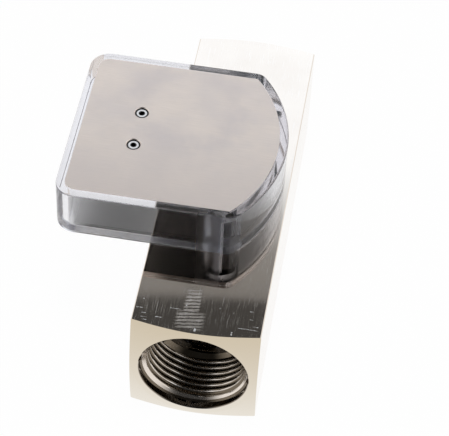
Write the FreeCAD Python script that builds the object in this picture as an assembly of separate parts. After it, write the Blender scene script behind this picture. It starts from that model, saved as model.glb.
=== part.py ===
import FreeCAD, Part
import math
import os

from FreeCAD import Vector

# Variable area flow meter: a square bar with a pipe thread in each end, a sprung float inside it, and a
# clear case on top in which a magnet on a pointer follows a magnet on the float.
# Millimetres. The flow axis runs along Y from the inlet (+Y) to the outlet (-Y), the bar stands on Z = 0,
# and the origin is the middle of the bar's lower face. The float and the pointer are at no flow.

# Bar
BODY_SIDE = 40.0
BODY_LENGTH = 131.0
BODY_EDGE_BREAK = 0.3
END_LAND = 2.2              # flat ring round each port mouth
END_CONE_ANGLE = 15.0       # the corners outside that ring are turned back by this many degrees

# Ports: a smooth mouth, then a one inch pipe thread, drawn at its outer diameter
MOUTH_RADIUS = 17.1
MOUTH_DEPTH = 2.3
MOUTH_EDGE_BREAK = 0.35
THREAD_RADIUS = 16.62
THREAD_DEPTH = 18.0
BORE_RADIUS = 15.0

# Clearances
FIT_GAP = 0.05              # radial, between pieces fixed to each other
RUNNING_GAP = 0.06          # radial, between pieces that move on each other
STOP_GAP = 0.3              # between a moving piece and what stops it
SPRING_GAP = 0.1            # at each end of the spring

# Retaining rings in the bore
RING_THICKNESS = 1.2
RING_WIDTH = 2.0
RING_GROOVE_DEPTH = 0.8
RING_SHOULDER = 1.3         # bore left between the groove and the thread
RING_OPENING = 34.0         # degrees
RING_LUG_RADIUS = 1.5
RING_LUG_HOLE = 0.7

# Spiders that carry the guide rod
SPIDER_LENGTH = 4.0
SPIDER_RIM = 2.2
SPIDER_HUB_RADIUS = 8.0
SPIDER_HUB_LENGTH = 3.0
SPIDER_ARM_WIDTH = 3.0
SPIDER_ARMS = 3
ROD_RADIUS = 2.0
ROD_TAIL = 0.6              # rod left standing out of its nut
ROD_END_CHAMFER = 0.4
NUT_ACROSS_FLATS = 7.0
NUT_HEIGHT = 2.2
STOP_SLEEVE_WALL = 1.6
NO_FLOW_STOP_LENGTH = 2.0
FULL_FLOW_STOP_LENGTH = 13.0    # or more: longer than the spring when its coils close up

# Metering sleeve: narrow at the no-flow end, widening along the float's travel
SLEEVE_BORE_RADIUS = 13.4
THROAT_GAP = 0.3            # between the float's edge and the throat
SEAL_CORD_RADIUS = 0.65
SEAL_CORD_SIDES = 10        # the round cord is drawn with this many flats
SEAL_SIDE_GAP = 0.3
SEAL_FROM_END = 4.0

# Float
FLOAT_EDGE_RADIUS = 11.0
FLOAT_EDGE_LENGTH = 1.0
FLOAT_EDGE_BACK = 2.0       # cone from the edge down to the neck
FLOAT_NECK_RADIUS = 7.0
FLOAT_NECK_LENGTH = 3.5
FLOAT_SHOULDER = 1.5
FLOAT_NOSE_LENGTH = 6.0
FLOAT_NOSE_RADIUS = 4.4
FLOAT_TUBE_RADIUS = 5.4
FLOAT_BUSH_WALL = 1.2
FLOAT_BUSH_LENGTH = 6.0
FLOAT_MAGNET_RADIUS = 9.5
FLOAT_MAGNET_LENGTH = 10.0
FLOAT_NUT_LENGTH = 3.0
FLOAT_NUT_SLOT = 2.0
FLOAT_NUT_SLOT_DEPTH = 1.2

# Return spring round the guide rod
SPRING_RADIUS = 7.0
SPRING_WIRE_RADIUS = 0.5
SPRING_WIRE_SIDES = 6       # the round wire is drawn with this many flats
SPRING_TURNS = 6

# Pointer movement: the pivot stands beside the bar, level with the middle of the float's travel
PIVOT_OFFSET = 30.0         # from the flow axis to the pivot
PIN_RADIUS = 1.0
PIN_IN_FLOOR = 1.6          # depth of the pin's hole below the floor's upper face
PIN_TAIL = 1.2              # pin left above its clip
PIN_BOSS_RADIUS = 2.5
PIN_BOSS_HEIGHT = 2.0
WASHER_RADIUS = 2.4
WASHER_THICKNESS = 0.4
CLIP_RADIUS = 2.3
CLIP_THICKNESS = 0.6
CLIP_SLOT_RATIO = 1.4       # width of the clip's open side over the pin's radius
END_FLOAT = 0.1             # axial play of the hub on its pin
HUB_RADIUS = 3.0
HUB_HEIGHT = 3.2
HUB_SPIGOT_RADIUS = 1.8
HUB_SPIGOT_HEAD = 0.6
ARM_THICKNESS = 0.8
ARM_EYE_RADIUS = 3.6
ARM_ROOT_WIDTH = 5.0
ARM_TIP_WIDTH = 2.4
ARM_WALL_GAP = 1.6          # between the pointer's tip and the curved wall
FLAG_PLATE_GAP = 1.0        # between the tip's raised flag and the dial plate
TAIL_LENGTH = 11.0
COUNTERWEIGHT_RADIUS = 3.6
COUNTERWEIGHT_HEIGHT = 2.6
POINTER_MAGNET_LENGTH = 12.0
POINTER_MAGNET_WIDTH = 6.0
POINTER_MAGNET_HEIGHT = 3.6
CRADLE_WALL = 0.6
CRADLE_DEPTH = 2.2

# Clear case: a D-shaped tray whose curved wall is struck from the pivot
CASE_HEIGHT = 17.0
CASE_LENGTH = 65.0
CASE_BACK = 20.8            # from the pivot to the outside of the straight wall
CASE_ARC_RADIUS = 48.2
CASE_FLOOR = 3.0
CASE_LIP = 2.8
CASE_LEDGE = 0.8            # the wall is thicker by this much below the dial plate
CASE_BACK_CORNER = 6.5
CASE_ARC_CORNER = 4.0
CASE_LOWER_ROUND = 1.8
CASE_POST_RADIUS = 4.8      # solid post in each corner beside the arc, for a screw into the bar
CASE_POST_INSET = 7.4       # from the curved wall to the middle of the post
CASE_POST_GAP = 0.7         # least room between a post and the pointer at the end of its swing
CASE_SCREW_RADIUS = 1.5
CASE_SCREW_HEAD_RADIUS = 2.75
CASE_SCREW_HEAD_HEIGHT = 2.0
CASE_SCREW_HEAD_GAP = 0.4   # between the screw's head and the dial plate
CASE_SCREW_IN_BODY = 3.0
CASE_SCREW_SOCKET = 2.0
CASE_SCREW_HOLE_SPARE = 0.4
CASE_WASHER_RADIUS = 3.2
CASE_WASHER_THICKNESS = 0.5
CASE_WASHER_LAND = 0.3      # ledge left between the washer's hole and the lip

# Dial plate and its two countersunk screws
PLATE_THICKNESS = 1.5
PLATE_GAP = 0.1             # between the plate's edge and the lip
PLATE_SCREW_SPACING = 14.3
PLATE_SCREW_RADIUS = 1.25
PLATE_SCREW_LENGTH = 8.0
PLATE_HEAD_RADIUS = 2.1
PLATE_SINK_RADIUS = 2.45    # countersink at the plate's upper face, a little wider than the head
PLATE_SOCKET = 1.5
PLATE_SOCKET_DEPTH = 0.8
PLATE_BOSS_RADIUS = 3.0
PLATE_BOSS_SPARE = 1.0      # hole left below the screw's end

# Places worked out from the sizes above
AXIS_Z = BODY_SIDE / 2
END_Y = BODY_LENGTH / 2
END_FLAT_RADIUS = MOUTH_RADIUS + END_LAND
THREAD_START_Y = END_Y - MOUTH_DEPTH
BORE_END_Y = THREAD_START_Y - THREAD_DEPTH
RING_OUTER_Y = BORE_END_Y - RING_SHOULDER
RING_INNER_Y = RING_OUTER_Y - RING_THICKNESS
SPIDER_INNER_Y = RING_INNER_Y - SPIDER_LENGTH
NUT_INNER_Y = SPIDER_INNER_Y + SPIDER_HUB_LENGTH
ROD_END_Y = NUT_INNER_Y + NUT_HEIGHT + ROD_TAIL

FLOAT_NOSE_Y = SPIDER_INNER_Y - NO_FLOW_STOP_LENGTH - STOP_GAP
FLOAT_EDGE_Y = FLOAT_NOSE_Y - FLOAT_NOSE_LENGTH - FLOAT_EDGE_LENGTH
FLOAT_SEAT_Y = FLOAT_EDGE_Y - FLOAT_EDGE_BACK - FLOAT_NECK_LENGTH - FLOAT_SHOULDER
FLOAT_MAGNET_Y = FLOAT_SEAT_Y - FLOAT_MAGNET_LENGTH / 2
FLOAT_TAIL_Y = FLOAT_SEAT_Y - FLOAT_MAGNET_LENGTH - FLOAT_NUT_LENGTH
FLOAT_BORE_RADIUS = ROD_RADIUS + RUNNING_GAP + FLOAT_BUSH_WALL
THROAT_RADIUS = FLOAT_EDGE_RADIUS + THROAT_GAP

# Travel: the bar leaves room for one length, and the pointer's swing between the posts for another. The float
# takes the shorter, and the full-flow stop on the rod is as long as that needs.
POST_HALF = CASE_LENGTH / 2 - CASE_LIP - CASE_WASHER_LAND - FIT_GAP - CASE_WASHER_RADIUS
POST_REACH = CASE_ARC_RADIUS - CASE_POST_INSET
POST_ANGLE = math.asin(POST_HALF / POST_REACH)
POST_ROOM = math.asin((CASE_POST_RADIUS + CASE_POST_GAP + ARM_TIP_WIDTH / 2) / POST_REACH)
TRAVEL_IN_BAR = FLOAT_TAIL_Y - STOP_GAP - FULL_FLOW_STOP_LENGTH + SPIDER_INNER_Y
TRAVEL_IN_CASE = 2 * PIVOT_OFFSET * math.tan(POST_ANGLE - POST_ROOM)
STROKE = min(TRAVEL_IN_BAR, TRAVEL_IN_CASE)
FULL_FLOW_STOP_Y = FLOAT_TAIL_Y - STOP_GAP - STROKE
POINTER_SWING = 2 * math.degrees(math.atan(STROKE / 2 / PIVOT_OFFSET))

CASE_FLOOR_Z = BODY_SIDE
CASE_INSIDE_Z = CASE_FLOOR_Z + CASE_FLOOR
CASE_TOP_Z = CASE_FLOOR_Z + CASE_HEIGHT
PLATE_UNDER_Z = CASE_TOP_Z - PLATE_THICKNESS
CASE_SCREW_TOP_Z = PLATE_UNDER_Z - CASE_SCREW_HEAD_GAP
CASE_SCREW_HEAD_Z = CASE_SCREW_TOP_Z - CASE_SCREW_HEAD_HEIGHT
CASE_SCREW_SEAT_Z = CASE_SCREW_HEAD_Z - CASE_WASHER_THICKNESS
PIN_BOSS_Z = CASE_INSIDE_Z + PIN_BOSS_HEIGHT
HUB_Z = PIN_BOSS_Z + WASHER_THICKNESS + END_FLOAT / 2
ARM_Z = HUB_Z + HUB_HEIGHT
ARM_TOP_Z = ARM_Z + ARM_THICKNESS
HUB_TOP_Z = ARM_TOP_Z + HUB_SPIGOT_HEAD
CLIP_Z = HUB_TOP_Z + END_FLOAT / 2
ARM_TIP = CASE_ARC_RADIUS - CASE_LIP - CASE_LEDGE - ARM_WALL_GAP

UP = Vector(0, 0, 1)
FLOW = Vector(0, 1, 0)
PIVOT = Vector(-PIVOT_OFFSET, FLOAT_MAGNET_Y - STROKE / 2, 0)


def turned(outline):
    """Solid turned about the flow axis. The outline is its half section, as (radius, y) points."""
    points = [Vector(radius, y, AXIS_Z) for radius, y in outline]
    section = Part.Face(Part.makePolygon(points + points[:1]))
    return section.revolve(Vector(0, 0, AXIS_Z), FLOW, 360)


def turned_upright(x, y, outline):
    """Solid turned about the upright line at (x, y). The outline is (radius, z) points."""
    points = [Vector(x + radius, y, z) for radius, z in outline]
    section = Part.Face(Part.makePolygon(points + points[:1]))
    return section.revolve(Vector(x, y, 0), UP, 360)


def tube(outer, inner, y_low, y_high):
    """Plain ring about the flow axis."""
    return turned([(inner, y_low), (outer, y_low), (outer, y_high), (inner, y_high)])


def ring_upright(x, y, outer, inner, z_low, z_high):
    """Plain ring about an upright line."""
    return turned_upright(x, y, [(inner, z_low), (outer, z_low), (outer, z_high), (inner, z_high)])


def rod_upright(x, y, radius, z_low, z_high):
    """Plain upright rod."""
    return Part.makeCylinder(radius, z_high - z_low, Vector(x, y, z_low), UP)


def regular_polygon(sides, corner_radius):
    """Closed outline with equal sides, flat about the origin."""
    turns = [2 * math.pi * k / sides for k in range(sides)]
    points = [Vector(corner_radius * math.cos(turn), corner_radius * math.sin(turn), 0) for turn in turns]
    return Part.makePolygon(points + points[:1])


def hexagon(across_flats, centre, direction, height):
    """Six-sided prism that starts at centre and runs along direction."""
    prism = Part.Face(regular_polygon(6, across_flats / math.sqrt(3))).extrude(UP * height)
    prism.Placement = FreeCAD.Placement(centre, FreeCAD.Rotation(UP, direction))
    return prism


def mirrored_in_y(shape):
    """The same piece at the other end of the bar."""
    return shape.mirror(Vector(0, 0, 0), FLOW)


def about_flow_axis(shape, angle):
    """The same piece turned about the flow axis."""
    turned_shape = shape.copy()
    turned_shape.rotate(Vector(0, 0, AXIS_Z), FLOW, angle)
    return turned_shape


# Bar

def make_flow_body():
    """Square bar with turned ends, the stepped through bore and the tapped holes for the case screws."""
    bar = Part.makeBox(BODY_SIDE, BODY_LENGTH, BODY_SIDE, Vector(-BODY_SIDE / 2, -END_Y, 0))
    long_edges = [edge for edge in bar.Edges if abs(edge.Length - BODY_LENGTH) < 1e-6]
    bar = bar.makeChamfer(BODY_EDGE_BREAK, long_edges)

    corner_radius = BODY_SIDE
    cone_drop = (corner_radius - END_FLAT_RADIUS) * math.tan(math.radians(END_CONE_ANGLE))
    bar = bar.common(turned([
        (0, -END_Y), (END_FLAT_RADIUS, -END_Y), (corner_radius, cone_drop - END_Y),
        (corner_radius, END_Y - cone_drop), (END_FLAT_RADIUS, END_Y), (0, END_Y)]))

    groove_radius = BORE_RADIUS + RING_GROOVE_DEPTH
    half_bore = [
        (BORE_RADIUS, RING_INNER_Y - FIT_GAP), (groove_radius, RING_INNER_Y - FIT_GAP),
        (groove_radius, RING_OUTER_Y + FIT_GAP), (BORE_RADIUS, RING_OUTER_Y + FIT_GAP),
        (BORE_RADIUS, BORE_END_Y), (THREAD_RADIUS, BORE_END_Y + THREAD_RADIUS - BORE_RADIUS),
        (THREAD_RADIUS, THREAD_START_Y - MOUTH_RADIUS + THREAD_RADIUS), (MOUTH_RADIUS, THREAD_START_Y),
        (MOUTH_RADIUS, END_Y - MOUTH_EDGE_BREAK), (MOUTH_RADIUS + MOUTH_EDGE_BREAK, END_Y)]
    other_half = [(radius, -y) for radius, y in reversed(half_bore)]
    bar = bar.cut(turned([(0, END_Y), (0, -END_Y)] + other_half + half_bore))

    hole_radius = CASE_SCREW_RADIUS + FIT_GAP
    hole_depth = CASE_SCREW_IN_BODY + CASE_SCREW_HOLE_SPARE
    for post in case_posts():
        bar = bar.cut(turned_upright(post.x, post.y, [
            (0, BODY_SIDE), (hole_radius, BODY_SIDE), (hole_radius, BODY_SIDE - hole_depth),
            (0, BODY_SIDE - hole_depth - hole_radius / 2)]))
    return bar


# Wetted parts inside the bar

def make_metering_sleeve():
    """Sleeve that fills the bore between the spiders, with the tapered way that the float opens."""
    outer = BORE_RADIUS - FIT_GAP
    throat_y = FLOAT_EDGE_Y + FLOAT_EDGE_LENGTH
    groove_bottom = BORE_RADIUS - 2 * SEAL_CORD_RADIUS - 2 * FIT_GAP
    groove_half = SEAL_CORD_RADIUS + SEAL_SIDE_GAP
    seal_y = SPIDER_INNER_Y - SEAL_FROM_END
    return turned([
        (outer, -SPIDER_INNER_Y), (outer, seal_y - groove_half), (groove_bottom, seal_y - groove_half),
        (groove_bottom, seal_y + groove_half), (outer, seal_y + groove_half), (outer, SPIDER_INNER_Y),
        (SLEEVE_BORE_RADIUS, SPIDER_INNER_Y), (THROAT_RADIUS, throat_y), (THROAT_RADIUS, FLOAT_EDGE_Y),
        (SLEEVE_BORE_RADIUS, FLOAT_EDGE_Y - STROKE), (SLEEVE_BORE_RADIUS, -SPIDER_INNER_Y)])


def make_sleeve_seal():
    """Cord ring in the sleeve's groove."""
    ring_radius = BORE_RADIUS - FIT_GAP - SEAL_CORD_RADIUS
    corners = regular_polygon(SEAL_CORD_SIDES, SEAL_CORD_RADIUS).Vertexes
    return turned([(ring_radius + corner.X, SPIDER_INNER_Y - SEAL_FROM_END + corner.Y) for corner in corners])


def make_inlet_spider():
    """Rim, arms and hub in one turned and milled piece. The hub's outer face is set back for the rod's nut."""
    rim_outer = BORE_RADIUS - FIT_GAP
    rim = tube(rim_outer, rim_outer - SPIDER_RIM, SPIDER_INNER_Y, RING_INNER_Y)
    hub = tube(SPIDER_HUB_RADIUS, ROD_RADIUS + FIT_GAP, SPIDER_INNER_Y, NUT_INNER_Y)
    reach = rim_outer - SPIDER_RIM / 2
    arm = Part.makeBox(SPIDER_ARM_WIDTH, SPIDER_HUB_LENGTH, reach,
                       Vector(-SPIDER_ARM_WIDTH / 2, SPIDER_INNER_Y, AXIS_Z))
    arm = arm.cut(Part.makeCylinder(SPIDER_HUB_RADIUS - SPIDER_RIM / 2, SPIDER_HUB_LENGTH,
                                    Vector(0, SPIDER_INNER_Y, AXIS_Z), FLOW))
    arms = [about_flow_axis(arm, 360 * k / SPIDER_ARMS) for k in range(SPIDER_ARMS)]
    return rim.multiFuse([hub] + arms).removeSplitter()


def make_inlet_retaining_ring():
    """Open spring ring with a holed lug at each end, sprung into the bore's groove."""
    outer = BORE_RADIUS + RING_GROOVE_DEPTH - FIT_GAP
    ring = tube(outer, outer - RING_WIDTH, RING_INNER_Y, RING_OUTER_Y)
    reach = 2 * outer
    half_opening = math.radians(RING_OPENING / 2)
    side = reach * math.tan(half_opening)
    wedge = Part.Face(Part.makePolygon([
        Vector(0, RING_INNER_Y, AXIS_Z), Vector(side, RING_INNER_Y, AXIS_Z - reach),
        Vector(-side, RING_INNER_Y, AXIS_Z - reach), Vector(0, RING_INNER_Y, AXIS_Z)]))
    ring = ring.cut(wedge.extrude(FLOW * RING_THICKNESS))
    lug_reach = outer - RING_WIDTH - RING_LUG_RADIUS / 2
    lug_angle = half_opening + RING_LUG_RADIUS / lug_reach
    for side_sign in (-1, 1):
        centre = Vector(side_sign * lug_reach * math.sin(lug_angle), RING_INNER_Y,
                        AXIS_Z - lug_reach * math.cos(lug_angle))
        ring = ring.fuse(Part.makeCylinder(RING_LUG_RADIUS, RING_THICKNESS, centre, FLOW))
        ring = ring.cut(Part.makeCylinder(RING_LUG_HOLE, RING_THICKNESS, centre, FLOW))
    return ring.removeSplitter()


def make_guide_rod():
    """Rod along the flow axis from nut to nut."""
    small = ROD_RADIUS - ROD_END_CHAMFER
    return turned([
        (0, -ROD_END_Y), (small, -ROD_END_Y), (ROD_RADIUS, ROD_END_CHAMFER - ROD_END_Y),
        (ROD_RADIUS, ROD_END_Y - ROD_END_CHAMFER), (small, ROD_END_Y), (0, ROD_END_Y)])


def make_guide_rod_nuts():
    """Thin hexagon nut on each end of the rod."""
    nut = hexagon(NUT_ACROSS_FLATS, Vector(0, NUT_INNER_Y, AXIS_Z), FLOW, NUT_HEIGHT)
    nut = nut.cut(Part.makeCylinder(ROD_RADIUS + FIT_GAP, NUT_HEIGHT, Vector(0, NUT_INNER_Y, AXIS_Z), FLOW))
    return Part.makeCompound([nut, mirrored_in_y(nut)])


def make_no_flow_stop():
    """Short sleeve on the rod between the inlet spider and the float's nose."""
    inner = ROD_RADIUS + FIT_GAP
    return tube(inner + STOP_SLEEVE_WALL, inner, SPIDER_INNER_Y - NO_FLOW_STOP_LENGTH, SPIDER_INNER_Y)


def make_full_flow_stop():
    """Sleeve on the rod, inside the spring, that ends the float's travel."""
    inner = ROD_RADIUS + FIT_GAP
    return tube(inner + STOP_SLEEVE_WALL, inner, -SPIDER_INNER_Y, FULL_FLOW_STOP_Y)


def make_return_spring():
    """Open coil of wire between the outlet spider and the float's nut."""
    start_y = -SPIDER_INNER_Y + SPRING_GAP + SPRING_WIRE_RADIUS
    end_y = FLOAT_TAIL_Y - SPRING_GAP - SPRING_WIRE_RADIUS
    rise = end_y - start_y
    coil = Part.makeHelix(rise / SPRING_TURNS, rise, SPRING_RADIUS)
    section = regular_polygon(SPRING_WIRE_SIDES, SPRING_WIRE_RADIUS)
    section.Placement = FreeCAD.Placement(Vector(SPRING_RADIUS, 0, 0), FreeCAD.Rotation(UP, FLOW))
    wire = Part.Wire(coil.Edges).makePipeShell([section], True, True)
    wire.Placement = FreeCAD.Placement(Vector(0, start_y, AXIS_Z), FreeCAD.Rotation(UP, FLOW))
    return wire


# Float

def make_float_body():
    """Sharp-edged metering head on a tube that carries the magnet."""
    edge_front = FLOAT_EDGE_Y + FLOAT_EDGE_LENGTH
    shoulder_y = FLOAT_SEAT_Y + FLOAT_SHOULDER
    return turned([
        (FLOAT_BORE_RADIUS, FLOAT_TAIL_Y), (FLOAT_TUBE_RADIUS, FLOAT_TAIL_Y),
        (FLOAT_TUBE_RADIUS, FLOAT_SEAT_Y), (FLOAT_MAGNET_RADIUS, FLOAT_SEAT_Y),
        (FLOAT_MAGNET_RADIUS, shoulder_y), (FLOAT_NECK_RADIUS, shoulder_y + FLOAT_NECK_LENGTH / 2),
        (FLOAT_NECK_RADIUS, shoulder_y + FLOAT_NECK_LENGTH), (FLOAT_EDGE_RADIUS, FLOAT_EDGE_Y),
        (FLOAT_EDGE_RADIUS, edge_front), (FLOAT_NOSE_RADIUS, FLOAT_NOSE_Y),
        (FLOAT_BORE_RADIUS, FLOAT_NOSE_Y)])


def make_float_magnet():
    """Ring magnet on the float's tube."""
    low_y = FLOAT_TAIL_Y + FLOAT_NUT_LENGTH
    return tube(FLOAT_MAGNET_RADIUS, FLOAT_TUBE_RADIUS + FIT_GAP, low_y, FLOAT_SEAT_Y)


def make_float_nut():
    """Slotted ring nut that clamps the magnet and takes the spring."""
    top_y = FLOAT_TAIL_Y + FLOAT_NUT_LENGTH
    nut = tube(FLOAT_MAGNET_RADIUS, FLOAT_TUBE_RADIUS + FIT_GAP, FLOAT_TAIL_Y, top_y)
    slot = Part.makeBox(FLOAT_NUT_SLOT, FLOAT_NUT_LENGTH, FLOAT_NUT_SLOT_DEPTH,
                        Vector(-FLOAT_NUT_SLOT / 2, FLOAT_TAIL_Y,
                               AXIS_Z + FLOAT_MAGNET_RADIUS - FLOAT_NUT_SLOT_DEPTH))
    return nut.cut([about_flow_axis(slot, 90 * k) for k in range(4)])


def make_float_bushes():
    """Plain bush in each end of the float's bore, running on the rod."""
    outer = FLOAT_BORE_RADIUS - FIT_GAP
    inner = ROD_RADIUS + RUNNING_GAP
    return Part.makeCompound([
        tube(outer, inner, FLOAT_TAIL_Y, FLOAT_TAIL_Y + FLOAT_BUSH_LENGTH),
        tube(outer, inner, FLOAT_NOSE_Y - FLOAT_BUSH_LENGTH, FLOAT_NOSE_Y)])


# Clear case

def case_posts():
    """Middle of each post. The hole for the washer in its top stays inside the lip."""
    return [PIVOT + Vector(POST_REACH * math.cos(POST_ANGLE), side * POST_HALF, 0) for side in (-1, 1)]


def plate_screw_places():
    """Y of each screw that holds the dial plate, on either side of the pivot."""
    return (PIVOT.y - PLATE_SCREW_SPACING / 2, PIVOT.y + PLATE_SCREW_SPACING / 2)


def d_block(inset, z_low, z_high, back_corner, arc_corner):
    """Upright D-shaped block: straight back, two straight ends, and an arc struck from the pivot."""
    back = -CASE_BACK + inset
    half = CASE_LENGTH / 2 - inset
    radius = CASE_ARC_RADIUS - inset
    meet = math.sqrt(radius ** 2 - half ** 2)
    corners = [PIVOT + Vector(x, y, z_low)
               for x, y in ((meet, half), (back, half), (back, -half), (meet, -half))]
    arc = Part.Arc(corners[3], PIVOT + Vector(radius, 0, z_low), corners[0])
    sides = [Part.LineSegment(corners[k], corners[k + 1]).toShape() for k in range(3)]
    block = Part.Face(Part.Wire(sides + [arc.toShape()])).extrude(UP * (z_high - z_low))
    for corner_radius, x in ((back_corner, PIVOT.x + back), (arc_corner, PIVOT.x + meet)):
        if corner_radius > 0:
            block = block.makeFillet(corner_radius, upright_edges(block, x))
    return block


def upright_edges(block, x):
    """Upright edges of a block at this x."""
    return [edge for edge in block.Edges
            if all(abs(corner.X - x) < 1e-6 for corner in edge.Vertexes)
            and abs(edge.tangentAt(edge.FirstParameter).z) > 0.999]


def edges_at_height(block, z):
    """Edges that lie flat at this height."""
    return [edge for edge in block.Edges
            if edge.BoundBox.ZMax - z < 1e-6 and z - edge.BoundBox.ZMin < 1e-6]


def make_clear_case():
    """Moulded clear tray: rounded below, a lip with a ledge for the plate, posts, and bosses for pin and screws."""
    case = d_block(0, CASE_FLOOR_Z, CASE_TOP_Z, CASE_BACK_CORNER, CASE_ARC_CORNER)
    case = case.makeFillet(CASE_LOWER_ROUND, edges_at_height(case, CASE_FLOOR_Z))
    wall = CASE_LIP + CASE_LEDGE
    case = case.cut(d_block(wall, CASE_INSIDE_Z, CASE_TOP_Z, CASE_BACK_CORNER - wall, 0))
    case = case.cut(d_block(CASE_LIP, PLATE_UNDER_Z, CASE_TOP_Z, CASE_BACK_CORNER - CASE_LIP, 0))

    bosses = [rod_upright(PIVOT.x, y, PLATE_BOSS_RADIUS, CASE_INSIDE_Z, PLATE_UNDER_Z)
              for y in plate_screw_places()]
    bosses.append(rod_upright(PIVOT.x, PIVOT.y, PIN_BOSS_RADIUS, CASE_INSIDE_Z, PIN_BOSS_Z))
    bosses += [rod_upright(post.x, post.y, CASE_POST_RADIUS, CASE_INSIDE_Z, PLATE_UNDER_Z)
               for post in case_posts()]
    case = case.multiFuse(bosses)

    hole_bottom = PLATE_UNDER_Z + PLATE_THICKNESS - PLATE_SCREW_LENGTH - PLATE_BOSS_SPARE
    holes = [rod_upright(PIVOT.x, y, PLATE_SCREW_RADIUS + FIT_GAP, hole_bottom, PLATE_UNDER_Z)
             for y in plate_screw_places()]
    holes.append(rod_upright(PIVOT.x, PIVOT.y, PIN_RADIUS + FIT_GAP, CASE_INSIDE_Z - PIN_IN_FLOOR, PIN_BOSS_Z))
    screw_hole = CASE_SCREW_RADIUS + FIT_GAP
    washer_hole = CASE_WASHER_RADIUS + FIT_GAP
    holes += [turned_upright(post.x, post.y, [
        (0, CASE_FLOOR_Z), (screw_hole, CASE_FLOOR_Z), (screw_hole, CASE_SCREW_SEAT_Z),
        (washer_hole, CASE_SCREW_SEAT_Z), (washer_hole, PLATE_UNDER_Z), (0, PLATE_UNDER_Z)])
        for post in case_posts()]
    return case.cut(holes).removeSplitter()


def make_case_screws():
    """Low socket-head screws through the posts into the bar, covered by the dial plate."""
    end_z = BODY_SIDE - CASE_SCREW_IN_BODY
    socket_z = CASE_SCREW_TOP_Z - CASE_SCREW_HEAD_HEIGHT / 2
    screws = []
    for post in case_posts():
        screw = turned_upright(post.x, post.y, [
            (0, end_z), (CASE_SCREW_RADIUS, end_z), (CASE_SCREW_RADIUS, CASE_SCREW_HEAD_Z),
            (CASE_SCREW_HEAD_RADIUS, CASE_SCREW_HEAD_Z), (CASE_SCREW_HEAD_RADIUS, CASE_SCREW_TOP_Z),
            (0, CASE_SCREW_TOP_Z)])
        socket_floor = Vector(post.x, post.y, socket_z)
        screws.append(screw.cut(hexagon(CASE_SCREW_SOCKET, socket_floor, UP, CASE_SCREW_HEAD_HEIGHT)))
    return Part.makeCompound(screws)


def make_case_washers():
    """Plain washer under each case screw."""
    return Part.makeCompound([
        ring_upright(post.x, post.y, CASE_WASHER_RADIUS, CASE_SCREW_RADIUS + FIT_GAP,
                     CASE_SCREW_SEAT_Z, CASE_SCREW_HEAD_Z)
        for post in case_posts()])


# Dial plate

def make_dial_plate():
    """Sheet metal plate let into the case's lip, countersunk for its screws."""
    inset = CASE_LIP + PLATE_GAP
    plate = d_block(inset, PLATE_UNDER_Z, CASE_TOP_Z, CASE_BACK_CORNER - inset, 0)
    hole = PLATE_SCREW_RADIUS + FIT_GAP
    sink_z = CASE_TOP_Z - (PLATE_SINK_RADIUS - hole)
    for y in plate_screw_places():
        plate = plate.cut(turned_upright(PIVOT.x, y, [
            (0, PLATE_UNDER_Z), (hole, PLATE_UNDER_Z), (hole, sink_z),
            (PLATE_SINK_RADIUS, CASE_TOP_Z), (0, CASE_TOP_Z)]))
    return plate


def make_dial_plate_screws():
    """Countersunk socket screws, seated just below the plate's face."""
    top_z = CASE_TOP_Z - (PLATE_SINK_RADIUS - PLATE_HEAD_RADIUS)
    cone_z = top_z - (PLATE_HEAD_RADIUS - PLATE_SCREW_RADIUS)
    end_z = CASE_TOP_Z - PLATE_SCREW_LENGTH
    screws = []
    for y in plate_screw_places():
        screw = turned_upright(PIVOT.x, y, [
            (0, end_z), (PLATE_SCREW_RADIUS, end_z), (PLATE_SCREW_RADIUS, cone_z),
            (PLATE_HEAD_RADIUS, top_z), (0, top_z)])
        socket_floor = Vector(PIVOT.x, y, top_z - PLATE_SOCKET_DEPTH)
        screws.append(screw.cut(hexagon(PLATE_SOCKET, socket_floor, UP, PLATE_SOCKET_DEPTH)))
    return Part.makeCompound(screws)


# Pointer movement

def make_pivot_pin():
    """Pin pressed into the case's boss."""
    return rod_upright(PIVOT.x, PIVOT.y, PIN_RADIUS, CASE_INSIDE_Z - PIN_IN_FLOOR,
                       CLIP_Z + CLIP_THICKNESS + PIN_TAIL)


def make_pivot_washer():
    """Thin washer that the pointer's hub turns on."""
    return ring_upright(PIVOT.x, PIVOT.y, WASHER_RADIUS, PIN_RADIUS + FIT_GAP,
                        PIN_BOSS_Z, PIN_BOSS_Z + WASHER_THICKNESS)


def make_pivot_clip():
    """Open clip on the pin above the hub."""
    clip = ring_upright(PIVOT.x, PIVOT.y, CLIP_RADIUS, PIN_RADIUS + FIT_GAP, CLIP_Z, CLIP_Z + CLIP_THICKNESS)
    slot_width = CLIP_SLOT_RATIO * PIN_RADIUS
    slot = Part.makeBox(CLIP_RADIUS, slot_width, CLIP_THICKNESS,
                        Vector(PIVOT.x - CLIP_RADIUS, PIVOT.y - slot_width / 2, CLIP_Z))
    return clip.cut(slot)


def at_no_flow(shape):
    """Swing a pointer piece from the middle of its travel to where it points with no flow."""
    swung = shape.copy()
    swung.rotate(PIVOT, UP, POINTER_SWING / 2)
    return swung


def make_pointer_hub():
    """Bush with a flange below the arm and a riveted spigot through it."""
    inner = PIN_RADIUS + RUNNING_GAP
    return turned_upright(PIVOT.x, PIVOT.y, [
        (inner, HUB_Z), (HUB_RADIUS, HUB_Z), (HUB_RADIUS, ARM_Z),
        (HUB_SPIGOT_RADIUS, ARM_Z), (HUB_SPIGOT_RADIUS, HUB_TOP_Z), (inner, HUB_TOP_Z)])


def tapered_strip(start, end, start_width, end_width, z_low, z_high):
    """Flat strip that narrows along X from start to end, measured from the pivot."""
    points = [PIVOT + Vector(x, y, z_low) for x, y in (
        (start, -start_width / 2), (end, -end_width / 2), (end, end_width / 2), (start, start_width / 2))]
    return Part.Face(Part.makePolygon(points + points[:1])).extrude(UP * (z_high - z_low))


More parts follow.
